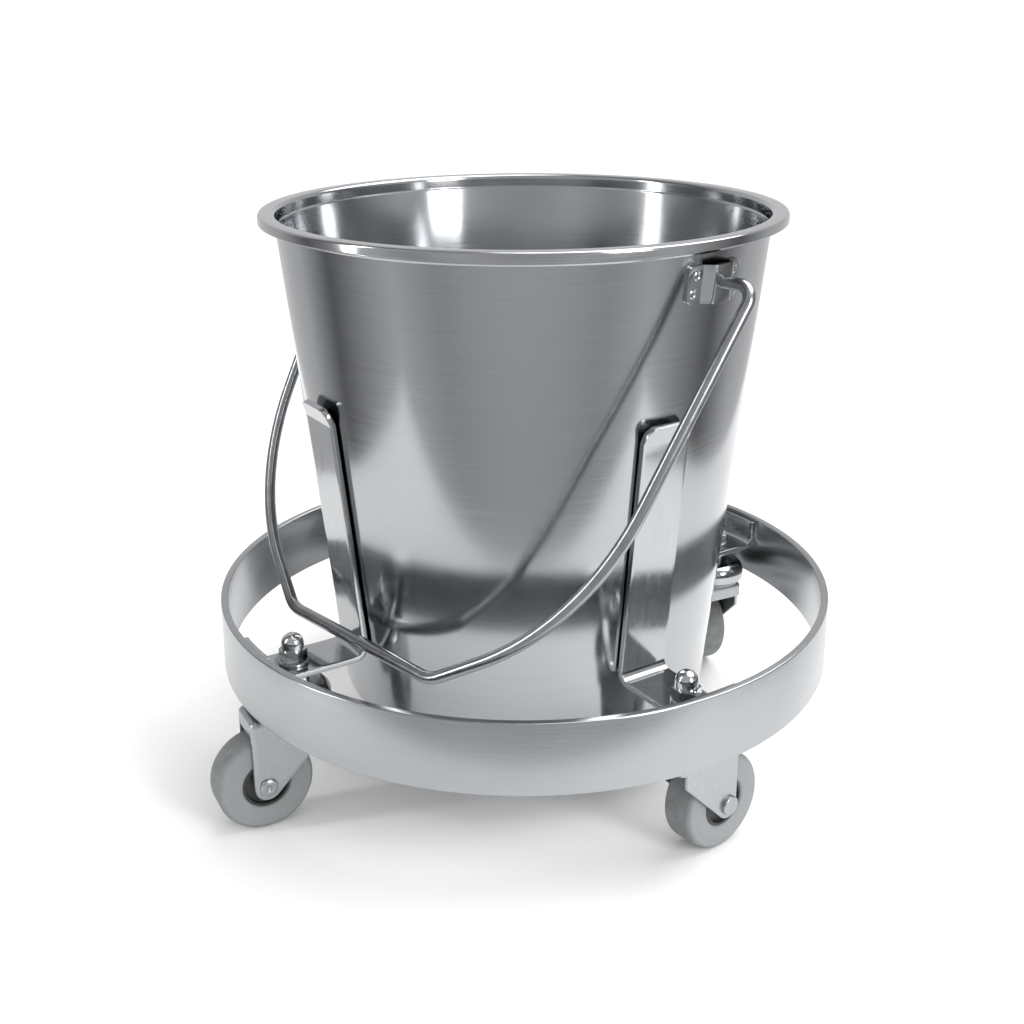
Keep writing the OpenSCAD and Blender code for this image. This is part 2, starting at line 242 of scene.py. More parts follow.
def steel(name, light, dark, rough, grain_mm, bump_mm, smear=0.0, marks=0.06):
    """Bare steel. grain_mm is the grain's length along X, Y and Z, and bump_mm its depth."""
    material, tree, shader, place = finish(name)
    shader.inputs["Metallic"].default_value = 1.0
    scale = [1 / (g * MM) for g in grain_mm]
    stretched = add(tree, "ShaderNodeMapping", {"Vector": place, "Scale": scale})
    grain = add(tree, "ShaderNodeTexNoise",
                {"Vector": stretched.outputs[0], "Scale": 1.0, "Detail": 3.0, "Roughness": 0.6})
    # handling marks and cleaning smears, a few centimetres across
    smears = add(tree, "ShaderNodeTexNoise",
                 {"Vector": place, "Scale": 1 / (45 * MM), "Detail": 4.0, "Roughness": 0.55})
    tint = add(tree, "ShaderNodeMix",
               {0: grain.outputs[0], MIX_A: colour(dark), MIX_B: colour(light)}, data_type="RGBA")
    tree.links.new(tint.outputs[MIXED], shader.inputs["Base Color"])
    both = add(tree, "ShaderNodeMath", {0: grain.outputs[0], 1: smears.outputs[0]}, operation="ADD")
    dulled = add(tree, "ShaderNodeMapRange",
                 {"Value": both.outputs[0], "From Min": 0.6, "From Max": 1.4,
                  "To Min": rough - marks, "To Max": rough + marks})
    tree.links.new(dulled.outputs[0], shader.inputs["Roughness"])
    relief = add(tree, "ShaderNodeBump",
                 {"Height": grain.outputs[0], "Strength": 0.5, "Distance": bump_mm * MM})
    tree.links.new(relief.outputs[0], shader.inputs["Normal"])
    if smear:
        # the grain runs round the axis, so a highlight is drawn out across it, up and down
        shader.inputs["Anisotropic"].default_value = smear
        shader.inputs["Anisotropic Rotation"].default_value = 0.25
        around = add(tree, "ShaderNodeTangent", direction_type="RADIAL", axis="Z")
        tree.links.new(around.outputs[0], shader.inputs["Tangent"])
    return material


# spun and buffed round the pail: fine rings, almost a mirror along them
spun_steel = steel("spun and polished stainless sheet", "#b0b2b4", "#a2a4a6", 0.14,
                   (60, 60, 0.7), 0.0012, smear=0.55, marks=0.03)
# rolled bar keeps the mill's satin lines, drawn here coarser than real so that they show
satin_bar = steel("satin rolled stainless bar", "#b0b2b4", "#9ea0a2", 0.25,
                  (40, 40, 0.5), 0.004, smear=0.6, marks=0.04)
# strip is polished along its length
bright_strip = steel("bright polished stainless strip", "#b6b8b9", "#a6a8aa", 0.13,
                     (3, 3, 25), 0.003)
# a buffed nut shows only faint wheel marks
mirror_nut = steel("buffed stainless nut", "#c6c7c8", "#b6b8b9", 0.08,
                   (1.2, 1.2, 1.2), 0.002, marks=0.03)
# wire is dulled by the die, with a soft line of light along it
drawn_wire = steel("drawn stainless wire", "#a6a8aa", "#8e9092", 0.22, (6, 6, 6), 0.003)
# plating over a pressed sheet is even and slightly grainy
plated_steel = steel("zinc-plated pressed steel", "#b4b6b8", "#9c9ea0", 0.36,
                     (1.6, 1.6, 1.6), 0.010)
# small turned parts keep their tool marks
turned_steel = steel("turned mild steel", "#b0b2b3", "#949698", 0.30, (1.0, 1.0, 1.0), 0.004)


# %% [markdown]
# ## Rubber and plastic
# The wheel is two mouldings. Its tyre is grey thermoplastic rubber, dull and finely pitted, and
# coloured a darker grey in patches on its tread. Its hub is black polypropylene straight from the
# mould: a soft gloss over a fine spark-eroded texture.

# %% Moulded grey rubber
def rubber(name, base_grey, blotch_grey, pit_mm):
    """Dull rubber with fine pits. The piece's own tread value says where it turns a darker grey, in
    patches.
    """
    material, tree, shader, place = finish(name)
    tread = add(tree, "ShaderNodeAttribute", attribute_name="tread").outputs["Fac"]
    blotches = add(tree, "ShaderNodeTexNoise",
               {"Vector": place, "Scale": 1 / (7 * MM), "Detail": 5.0, "Roughness": 0.65})
    # the tread turns a darker grey in patches, and the faces keep the lighter grey
    tread_blotches = add(tree, "ShaderNodeMath", {0: tread, 1: blotches.outputs[0]}, operation="MULTIPLY")
    tint = add(tree, "ShaderNodeMix",
               {0: tread_blotches.outputs[0], MIX_A: colour(base_grey), MIX_B: colour(blotch_grey)}, data_type="RGBA")
    tree.links.new(tint.outputs[MIXED], shader.inputs["Base Color"])
    pits = add(tree, "ShaderNodeTexNoise",
               {"Vector": place, "Scale": 1 / (pit_mm * MM), "Detail": 2.0, "Roughness": 0.5})
    dull = add(tree, "ShaderNodeMapRange",
               {"Value": blotches.outputs[0], "To Min": 0.50, "To Max": 0.72})
    tree.links.new(dull.outputs[0], shader.inputs["Roughness"])
    relief = add(tree, "ShaderNodeBump",
                 {"Height": pits.outputs[0], "Strength": 0.35, "Distance": 0.05 * MM})
    tree.links.new(relief.outputs[0], shader.inputs["Normal"])
    shader.inputs["IOR"].default_value = 1.50
    return material


# %% Moulded black plastic
def plastic(name, light, dark, grit_mm):
    """Plastic from a spark-eroded mould, with a grit of about the given size."""
    material, tree, shader, place = finish(name)
    grit = add(tree, "ShaderNodeTexVoronoi", {"Vector": place, "Scale": 1 / (grit_mm * MM)})
    cloud = add(tree, "ShaderNodeTexNoise",
                {"Vector": place, "Scale": 1 / (5 * MM), "Detail": 3.0, "Roughness": 0.6})
    tint = add(tree, "ShaderNodeMix",
               {0: cloud.outputs[0], MIX_A: colour(dark), MIX_B: colour(light)}, data_type="RGBA")
    tree.links.new(tint.outputs[MIXED], shader.inputs["Base Color"])
    sheen = add(tree, "ShaderNodeMapRange",
                {"Value": cloud.outputs[0], "To Min": 0.32, "To Max": 0.55})
    tree.links.new(sheen.outputs[0], shader.inputs["Roughness"])
    relief = add(tree, "ShaderNodeBump",
                 {"Height": grit.outputs["Distance"], "Strength": 0.25, "Distance": 0.04 * MM})
    tree.links.new(relief.outputs[0], shader.inputs["Normal"])
    shader.inputs["IOR"].default_value = 1.49
    return material


grey_rubber = rubber("grey moulded rubber", "#888b8c", "#565859", 0.5)
black_plastic = plastic("black moulded polypropylene", "#343637", "#1d1e1f", 0.6)
print("finishes:", len(bpy.data.materials))

# %% [markdown]
# ## Fitting a piece
# A finished piece gets its material and the body that it moves with, and the solids that it stands
# for are hidden. Two more helpers round a piece's edges and turn its modifiers into plain mesh.

# %% Place a finished piece
def fit(thing, material, body, slot, *nodes):
    """Gives a piece its finish and the body it moves with, and hides the solids it stands for."""
    thing.data.materials.clear()
    thing.data.materials.append(material)
    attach(thing, body)
    if nodes:
        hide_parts(*nodes)
    return thing


def softened(thing, edge_mm, segments=3, angle=35.0):
    """Rounds a piece's sharp edges with a bevel."""
    bevel = thing.modifiers.new("rounded edges", "BEVEL")
    bevel.width = edge_mm * MM
    bevel.segments = segments
    bevel.limit_method = "ANGLE"
    bevel.angle_limit = math.radians(angle)
    bevel.harden_normals = False
    return thing


def applied(thing):
    """The same piece with its modifiers made into plain mesh."""
    graph = bpy.context.evaluated_depsgraph_get()
    mesh = bpy.data.meshes.new_from_object(thing.evaluated_get(graph))
    thing.modifiers.clear()
    old = thing.data
    thing.data = mesh
    bpy.data.meshes.remove(old)
    mesh.shade_smooth()
    mesh.set_sharp_from_angle(angle=math.radians(SHARP))
    return thing


# %% [markdown]
# ## The pail
# A pail like this is deep-drawn or rolled from 1 mm sheet: a flat base, a rounded heel, a tapered
# wall, a shallow step just under the mouth and a flat rim whose edge is turned down. All of it is
# one outline turned round one axis, so a lathe is the honest way to make it. The outline follows
# both faces of the sheet, which gives the rim its real thickness.

# %% Turn the pail
COLLAR_H, COLLAR_OUT, HEEL_R = 8, 0.6, 6
step_z = TOP_Z - COLLAR_H
neck_r = wall_r(step_z)
collar_r = neck_r + COLLAR_OUT
edge_z = TOP_Z - RIM_EDGE
pail_outline = rounded([
    (0, BASE_Z, 0),
    (BASE_R, BASE_Z, HEEL_R),
    (neck_r, step_z, 0.8),
    (collar_r, step_z + 1, 0.8),
    (collar_r, TOP_Z - SHEET, 1.2),
    (RIM_R - SHEET, TOP_Z - SHEET, 0.4),
    (RIM_R - SHEET, edge_z, 0),
    (RIM_R - SHEET / 2, edge_z - 0.15, 0),
    (RIM_R, edge_z, 0.2),
    (RIM_R, TOP_Z, 1.5),
    (collar_r - SHEET, TOP_Z, 2.4),
    (collar_r - SHEET, step_z + 1, 0.8),
    (neck_r - SHEET, step_z, 0.8),
    (BASE_R - SHEET, BASE_Z + SHEET, HEEL_R - SHEET),
    (0, BASE_Z + SHEET, 0),
], turn=10)
pail_outline = [(r, min(max(z, BASE_Z), TOP_Z)) for r, z in pail_outline]
pail = solid("pail", *turned(pail_outline, 256), smooth=50)
fit(pail, spun_steel, "bucket", "pail_steel", "pail_shell")
print("pail faces:", len(pail.data.polygons))

# %% [markdown]
# ## Geometry Nodes helpers
# The ring, the wire and everything that repeats are grown by small node trees, so that a size can
# be changed in one place. A tree is built, given its inputs and read back as a plain mesh.

# %% Grow a mesh from a node tree
SOCKETS = {float: "NodeSocketFloat", int: "NodeSocketInt",
           bpy.types.Object: "NodeSocketObject", bpy.types.Material: "NodeSocketMaterial"}


def new_tree(name, inputs):
    """A geometry tree with a geometry input and named inputs of the given kinds."""
    tree = bpy.data.node_groups.new(name, "GeometryNodeTree")
    tree.interface.new_socket("Geometry", in_out="INPUT", socket_type="NodeSocketGeometry")
    tree.interface.new_socket("Geometry", in_out="OUTPUT", socket_type="NodeSocketGeometry")
    for label, kind in inputs.items():
        tree.interface.new_socket(label, in_out="INPUT", socket_type=SOCKETS[kind])
    return tree, add(tree, "NodeGroupInput").outputs


def close_tree(tree, geometry, material):
    """Ends a tree: smooth faces, real geometry and a material."""
    smooth = add(tree, "GeometryNodeSetShadeSmooth", {"Geometry": geometry})
    real = add(tree, "GeometryNodeRealizeInstances", {"Geometry": smooth.outputs[0]})
    painted = add(tree, "GeometryNodeSetMaterial",
                  {"Geometry": real.outputs[0], "Material": material})
    add(tree, "NodeGroupOutput", {0: painted.outputs[0]})


def grown(name, start, tree, values):
    """Runs a tree on a starting mesh or curve and keeps the result as a plain mesh object."""
    holder = bpy.data.objects.new(name + " start", start)
    bpy.context.scene.collection.objects.link(holder)
    growth = holder.modifiers.new("growth", "NODES")
    growth.node_group = tree
    for item in tree.interface.items_tree:
        if item.in_out == "INPUT" and item.name in values:
            growth[item.identifier] = values[item.name]
    graph = bpy.context.evaluated_depsgraph_get()
    mesh = bpy.data.meshes.new_from_object(holder.evaluated_get(graph))
    holder.modifiers.clear()
    bpy.data.objects.remove(holder)
    tool = bmesh.new()
    tool.from_mesh(mesh)
    bmesh.ops.remove_doubles(tool, verts=tool.verts, dist=1e-7)
    bmesh.ops.recalc_face_normals(tool, faces=tool.faces)
    tool.to_mesh(mesh)
    tool.free()
    mesh.name = name
    mesh.shade_smooth()
    mesh.set_sharp_from_angle(angle=math.radians(SHARP))
    thing = bpy.data.objects.new(name, mesh)
    bpy.context.scene.collection.objects.link(thing)
    return thing


# %% [markdown]
# ## The ring
# The ring is a flat bar, 38 by 4 mm, rolled to a circle and welded end to end. A bar carried
# round a circle is exactly what Curve to Mesh does: the circle is the path, and a rectangle with
# eased corners is the bar's section.

# %% Roll the bar into a ring
ring_tree, given = new_tree("rolled bar", {
    "Radius": float, "Thickness": float, "Height": float, "Eased edge": float,
    "Finish": bpy.types.Material})
path = add(ring_tree, "GeometryNodeCurvePrimitiveCircle",
           {"Resolution": 256, "Radius": given["Radius"]})
section = add(ring_tree, "GeometryNodeCurvePrimitiveQuadrilateral",
              {"Width": given["Thickness"], "Height": given["Height"]})
eased = add(ring_tree, "GeometryNodeFilletCurve",
            {"Curve": section.outputs[0], "Radius": given["Eased edge"], "Count": 4}, mode="POLY")
bar = add(ring_tree, "GeometryNodeCurveToMesh",
          {"Curve": path.outputs[0], "Profile Curve": eased.outputs[0]})
raised = add(ring_tree, "GeometryNodeTransform",
             {"Geometry": bar.outputs[0],
              "Translation": (0, 0, (RING_TOP + RING_LOW) / 2 * MM)})
close_tree(ring_tree, raised.outputs[0], given["Finish"])
ring = grown("ring", bpy.data.meshes.new("empty"), ring_tree, {
    "Radius": (RING_R - RING_T / 2) * MM, "Thickness": RING_T * MM,
    "Height": (RING_TOP - RING_LOW) * MM, "Eased edge": 0.7 * MM, "Finish": satin_bar})
fit(ring, satin_bar, "frame", "satin_steel", "ring_band")
print("ring size in mm:", [round(v / MM, 1) for v in ring.dimensions])

# %% [markdown]
# ## The four brackets
# Each bracket is one strip, 28 by 3 mm, bent three times: an upright that leans with the pail, a
# level tab for the castor's stem and a short flange welded inside the ring. Its tip has rounded
# corners and is flared, so that the pail slides in. A grid follows the strip's side outline, its
# rows narrow towards the tip, and Solidify and Bevel give it thickness and soft edges.

# %% Bend a strip
def stem_place(corner):
    """Where a castor's stem stands, and the direction from the ring's middle to it."""
    x, y, _ = joints["castor_turn_" + corner]["pos_m"]
    return math.hypot(x, y) / MM, math.atan2(y, x)


LIP_H, LIP_OUT, BEND_R, TIP_R = 9, 4.0, 7.5, 6


def bracket(corner):
    """One strip: its side outline, its width at each step along it, and then its thickness."""
    stem_r, direction = stem_place(corner)
    post_top = span("bracket_" + corner)[1][2]
    lip_z = post_top - LIP_H
    bend_z = TAB_TOP - STRIP_T
    inner = RING_R - RING_T
    corners = [
        (wall_r(lip_z) + POST_GAP + LIP_OUT, post_top, 0),
        (wall_r(lip_z) + POST_GAP, lip_z, 6),
        (wall_r(bend_z) + POST_GAP, bend_z, BEND_R),
        (inner, bend_z, BEND_R),
        (inner, RING_TOP - 2, 0),
    ]
    side = rounded(corners, turn=9)
    # long straight runs get a point about every 5 mm
    fine = [side[0]]
    for a, b in zip(side, side[1:]):
        length = math.dist(a, b)
        pieces = max(1, round(length / 5))
        fine += [(a[0] + (b[0] - a[0]) * k / pieces, a[1] + (b[1] - a[1]) * k / pieces)
                 for k in range(1, pieces + 1)]
    tip = [0.0, 0.25, 0.9, 2.0, 3.3, 4.6]
    along = [0.0]
    for a, b in zip(fine, fine[1:]):
        along.append(along[-1] + math.dist(a, b))
    start, follow = Vector(fine[0]), (Vector(fine[1]) - Vector(fine[0])).normalized()
    stations = [(tuple(start + follow * s), s) for s in tip]
    stations += [(p, s) for p, s in zip(fine, along) if s > 5.5]
    columns = [-1, -0.86, -0.5, 0, 0.5, 0.86, 1]
    points, faces = [], []
    for (x, z), s in stations:
        half = STRIP_W / 2
        if s < TIP_R:
            half = half - TIP_R + math.sqrt(TIP_R ** 2 - (TIP_R - s) ** 2)
        for c in columns:
            y = c * half
            # the flange is rolled to the ring's curve
            curve = inner - math.sqrt(inner ** 2 - y ** 2)
            bow = curve * max(0.0, min(1.0, (x - stem_r) / 15))
            points.append((x - bow, y, z))
    wide = len(columns)
    for r in range(len(stations) - 1):
        for c in range(wide - 1):
            a = r * wide + c
            faces.append((a, a + 1, a + 1 + wide, a + wide))
    turn = Matrix.Rotation(direction, 4, "Z")
    strip = solid("bracket_strip_" + corner, points, faces, turn, outward=False)
    thick = strip.modifiers.new("thickness", "SOLIDIFY")
    thick.thickness = STRIP_T * MM
    thick.offset = -1.0
    softened(strip, 0.7, 3)
    applied(strip)
    return fit(strip, bright_strip, "frame", "polished_steel", "bracket_" + corner)


strips = [bracket(corner) for corner in CORNERS]
print("bracket tops:", [round(max(v.co.z for v in s.data.vertices) / MM, 1) for s in strips])

# %% [markdown]
# ## Nuts and washers
# Domed nuts close the castor stems. A real one is a hexagon whose corners were turned off by a
# cone, which leaves a curved edge over each flat, with a dome above. The same nut stands on every
# stem, so one is shaped and a node tree places a copy on each of four points.

# %% Shape one domed nut and one washer
def nut_shape():
    """A domed nut, 13 mm across its flats, standing on the washer."""
    flat, base, dome_top = 6.5, nut_low[2], nut_high[2]
    top = base + 6.5

    def flats(angle, height):
        if height > top + 0.01:
            return math.inf
        within = math.degrees(angle) % 60 - 30
        hexagon = flat / math.cos(math.radians(within))
        cone = flat + 0.35 + 1.9 * min(height - base, top - height)
        return min(hexagon, cone)

    sides = [(8.0, base + (top - base) * k / 14) for k in range(15)]
    dome = rounded([(5.9, top, 0), (5.9, dome_top, 5.7), (0, dome_top, 0)], turn=9)
    shoulder = [(6.3, top + 0.02)] + [(r, max(z, top + 0.03)) for r, z in dome]
    return turned([(0, base)] + sides + shoulder, 96, flats)


def washer_shape():
    """A flat washer with eased edges, 16 mm across."""
    low, high = washer_low[2], washer_high[2]
    return turned(rounded([(4.2, low, 0.1), (8, low, 0.3), (8, high, 0.4), (4.2, high, 0.3)],
                          closed=True, turn=30), 64)


# %% Stand a copy on each stem
copy_tree, given = new_tree("copies on points", {
    "Shape": bpy.types.Object, "Finish": bpy.types.Material})
shape = add(copy_tree, "GeometryNodeObjectInfo", {"Object": given["Shape"]})
copies = add(copy_tree, "GeometryNodeInstanceOnPoints",
             {"Points": given["Geometry"], "Instance": shape.outputs["Geometry"]})
close_tree(copy_tree, copies.outputs[0], given["Finish"])


def copies_on_stems(name, shape, material):
    """One mesh with a copy of the shape on each castor stem."""
    model = solid(name + " model", *shape)
    stems = bpy.data.meshes.new("stems")
    stems.from_pydata([(*joints["castor_turn_" + c]["pos_m"][:2], 0) for c in CORNERS], [], [])
    result = grown(name, stems, copy_tree, {"Shape": model, "Finish": material})
    bpy.data.objects.remove(model)
    return result


nuts = copies_on_stems("domed_nuts", nut_shape(), mirror_nut)
fit(nuts, mirror_nut, "frame", "polished_steel", "cap_nuts")
washers = copies_on_stems("washers", washer_shape(), turned_steel)
fit(washers, turned_steel, "frame", "plain_steel", "flat_washers")
print("nut box:", [round(v / MM, 1) for v in nuts.dimensions])

# %% [markdown]
# ## The ears and their welds
# The bail turns in two pressed ears, spot-welded to the wall. Seen from above an ear is a flat hat:
# two wings that follow the wall and a raised middle with the pivot hole. The outline is drawn from
# above and repeated at several heights, each a little wider, because the wall leans.

# %% Press an ear
hinge = joints["bail_swing"]
PIVOT_Z = hinge["pos_m"][2] / MM
EAR_DIRECTION = math.atan2(-hinge["axis"][1], -hinge["axis"][0])
EAR_T = 1.5
WALL_GAP = 0.03
CORNER_R = 4
HOLE_R = WIRE_R + 0.05


def ear(name, node, direction):
    """A pressed ear on the wall at a direction round the pail."""
    low, high = ear_low[2], ear_high[2]
    mid = wall_r((low + high) / 2) + WALL_GAP

    def on_wall(y):
        return math.sqrt(mid ** 2 - y ** 2)

    wings = [(on_wall(y), y, 0) for y in (19, 18.8, 18.2, 17.2, 16, 14.5, 13, 11)]
    middle = [(on_wall(9.5), 9.5, 1.4), (mid + 4.5, 6, 1.6)]
    left = wings + middle
    plan = rounded(left + [(x, -y, r) for x, y, r in reversed(left)], turn=14)
    heights = [(low - high) / 2 + (high - low) * k / 6 for k in range(7)]
    points, faces = [], []
    for z in heights:
        for x, y in plan:
            # a wing's corners are rounded, so its end columns are shorter
            past = max(0.0, abs(y) - 19 + CORNER_R)
            short = (CORNER_R - math.sqrt(CORNER_R ** 2 - past ** 2)) / (high - low) * 2
            level = z * (1 - short)
            points.append((x + TAPER * level, y, (low + high) / 2 + level))
    wide = len(plan)
    for r in range(len(heights) - 1):
        for c in range(wide - 1):
            a = r * wide + c
            faces.append((a, a + 1, a + 1 + wide, a + wide))
    turn = Matrix.Rotation(direction, 4, "Z")
    piece = solid(name, points, faces, turn, outward=False)
    thick = piece.modifiers.new("thickness", "SOLIDIFY")
    thick.thickness = EAR_T * MM
    thick.offset = -1.0
    softened(piece, 0.35, 2, 50)
    bit = turned([(0, mid + 2), (HOLE_R, mid + 2), (HOLE_R, mid + 12), (0, mid + 12)], 48)
    pivot = Matrix.Translation((0, 0, PIVOT_Z)) @ Matrix.Rotation(math.pi / 2, 4, "Y")
    drill = solid("drill", *bit, turn @ pivot)
    cut = piece.modifiers.new("hole", "BOOLEAN")
    cut.operation = "DIFFERENCE"
    cut.solver = "EXACT"
    cut.object = drill
    applied(piece)
    bpy.data.objects.remove(drill)
    return fit(piece, bright_strip, "bucket", "pail_steel", node)


right_ear = ear("pressed_ear_right", "ear_right", EAR_DIRECTION)
left_ear = ear("pressed_ear_left", "ear_left", EAR_DIRECTION + math.pi)
print("ear box:", [round(v / MM, 1) for v in right_ear.dimensions])

# %% Dimple the spot welds
weld_tree, given = new_tree("welds on wings", {
    "Weld": bpy.types.Object, "Finish": bpy.types.Material})
weld = add(weld_tree, "GeometryNodeObjectInfo", {"Object": given["Weld"]})
facing = add(weld_tree, "GeometryNodeInputNamedAttribute", {"Name": "facing"},
             data_type="FLOAT_VECTOR")
lined = add(weld_tree, "FunctionNodeAlignRotationToVector", {"Vector": facing.outputs[0]},
            axis="Z")
welds = add(weld_tree, "GeometryNodeInstanceOnPoints",
            {"Points": given["Geometry"], "Instance": weld.outputs["Geometry"],
             "Rotation": lined.outputs[0]})
close_tree(weld_tree, welds.outputs[0], given["Finish"])


def weld_points():
    """Two welds on each wing of each ear, with the direction each one faces."""
    places, ways = [], []
    for direction in (EAR_DIRECTION, EAR_DIRECTION + math.pi):
        for side in (-1, 1):
            for z, y in ((ear_low[2] + 5, 15.5), (ear_high[2] - 5, 14.0)):
                radius = wall_r(z) + WALL_GAP + EAR_T
                angle = direction + side * y / radius
                across, away = math.cos(angle), math.sin(angle)
                places.append((radius * across * MM, radius * away * MM, z * MM))
                ways.append((across * math.cos(LEAN), away * math.cos(LEAN), -math.sin(LEAN)))
    return places, ways


places, ways = weld_points()
spots = bpy.data.meshes.new("spots")
spots.from_pydata(places, [], [])
spots.attributes.new("facing", "FLOAT_VECTOR", "POINT").data.foreach_set(
    "vector", [value for way in ways for value in way])
# a raised rim pressed up round a shallow dish
dish = rounded([(0, 0.05, 0), (1.1, 0.05, 0.6), (1.6, 0.38, 0.3), (2.3, 0.0, 0.5),
                (2.5, -0.3, 0), (0, -0.3, 0)], turn=15)
model = solid("weld model", *turned(dish, 32))
dimples = grown("weld_dimples", spots, weld_tree, {"Weld": model, "Finish": bright_strip})
bpy.data.objects.remove(model)
fit(dimples, bright_strip, "bucket", "pail_steel")
print("welds:", len(places))

# %% [markdown]
# ## The bail
# The handle is one length of drawn wire. From each ear it comes straight out, turns down past the
# rim, sweeps round in a wide curve and ends in a short straight grip. It hangs on its pivots and
# leans on a bracket. The corners of its path are named, the helper rounds them, and a node tree
# carries a round section along the path.

# %% Bend the wire
LEAN_BACK = math.radians(32)
HEAD_GAP = 1.5
# half of the bail as (distance out from the middle, drop below the pivots, bend radius)
arm = [
    (wall_r(PIVOT_Z) + HEAD_GAP + 0.1, 0, 0),
    (153.96, 0, 8),
    (134.2, 173.6, 135),
    (57.9, 227.0, 20),
]
bail_path = rounded(arm + [(-u, d, r) for u, d, r in reversed(arm)], turn=3)
bail_plane = (Matrix.Translation((0, 0, PIVOT_Z)) @ Matrix.Rotation(EAR_DIRECTION, 4, "Z")
              @ Matrix.Rotation(-math.pi / 2 - LEAN_BACK, 4, "X"))
centre_line = bpy.data.curves.new("bail line", "CURVE")
centre_line.dimensions = "3D"
spline = centre_line.splines.new("POLY")
spline.points.add(len(bail_path) - 1)
for point, (u, d) in zip(spline.points, bail_path):
    point.co = (*(bail_plane @ Vector((u, d, 0)) * MM), 1)

wire_tree, given = new_tree("wire along a path", {
    "Wire radius": float, "Sides": int, "Finish": bpy.types.Material})
round_section = add(wire_tree, "GeometryNodeCurvePrimitiveCircle",
                    {"Radius": given["Wire radius"], "Resolution": given["Sides"]})
wire = add(wire_tree, "GeometryNodeCurveToMesh",
           {"Curve": given["Geometry"], "Profile Curve": round_section.outputs[0],
            "Fill Caps": True})
close_tree(wire_tree, wire.outputs[0], given["Finish"])
bail = grown("bail_wire", centre_line, wire_tree,
             {"Wire radius": WIRE_R * MM, "Sides": 28, "Finish": drawn_wire})

# %% Upset the wire's two heads
head = rounded([(0, 0, 0), (4.4, 0, 0.4), (4.4, 1.5, 0.5), (0, 1.5, 0)], turn=20)
heads = []
for side in (0, math.pi):
    face = (bail_plane @ Matrix.Rotation(side, 4, "Y")
            @ Matrix.Translation((wall_r(PIVOT_Z) + HEAD_GAP, 0, 0))
            @ Matrix.Rotation(math.pi / 2, 4, "Y"))
    points, faces = turned(head, 32)
    heads.append(([tuple(face @ Vector(p)) for p in points], faces))
bail_heads = solid("bail_heads", *joined(*heads))
fit(bail_heads, drawn_wire, "bail", "plain_steel")
fit(bail, drawn_wire, "bail", "plain_steel", "bail_handle")
print("bail lowest point:", round(min(v.co.z for v in bail.data.vertices) / MM, 1))

# %% [markdown]
# ## The castors
# Each castor is shaped in its own place, with the stem's axis on Z and the wheel trailing along X,
# and is then turned to the heading that its two joints give.

# %% Find each castor's place
def castor_place(corner):
    """The matrix from a castor's own place to the frame, and the trail from stem to axle."""
    stem = Vector(joints["castor_turn_" + corner]["pos_m"][:2]) / MM
    axle = Vector(joints["wheel_spin_" + corner]["pos_m"][:2]) / MM
    trail = axle - stem
    turn = Matrix.Rotation(math.atan2(trail.y, trail.x), 4, "Z")
    return Matrix.Translation((stem.x, stem.y, 0)) @ turn, trail.length


AXLE_Z = joints["wheel_spin_front_left"]["pos_m"][2] / MM
TRAIL = castor_place("front_left")[1]
print("axle height", AXLE_Z, "trail", round(TRAIL, 1))

# %% [markdown]
# ### The fork
# A fork is pressed from 2 mm plate: a crown, an end wall front and back and two legs that taper to
# a round end about the axle. It is drawn as a skin round the crown's outline. Each column of
# the skin runs down to wherever the plate was cut, and Solidify then gives the plate thickness.

# %% Press a fork
FORK_W = 25.0
FORK_T = 2.0
CROWN_FRONT = -14.5
CROWN_BACK = 28.5
CROWN_TOP = 64.0
CROWN_BEND = 2.6
CORNER = 3
SKIRT_Z = 55.0
LEG_END = 7.5


def leg_bottom(x):
    """Height of a leg's cut edge at a distance behind the stem."""
    reach = LEG_END * math.sin(math.radians(45))
    lead = TRAIL - reach
    if x <= lead:
        slope = AXLE_Z - reach + (lead - x)
        return min(slope, SKIRT_Z - 0.5)
    return AXLE_Z - math.sqrt(max(0.0, LEG_END ** 2 - (x - TRAIL) ** 2))


def crown_loop():
    """The crown's outline as (x, y), with a point about every 0.9 mm."""
    half = FORK_W / 2
    raw = rounded([(CROWN_BACK, -half, CORNER), (CROWN_BACK, half, CORNER),
                   (CROWN_FRONT, half, CORNER), (CROWN_FRONT, -half, CORNER)],
                  closed=True, turn=15)
    loop = []
    for a, b in zip(raw, raw[1:] + raw[:1]):
        pieces = max(1, round(math.dist(a, b) / 0.9))
        loop += [(a[0] + (b[0] - a[0]) * k / pieces, a[1] + (b[1] - a[1]) * k / pieces)
                 for k in range(pieces)]
    return loop


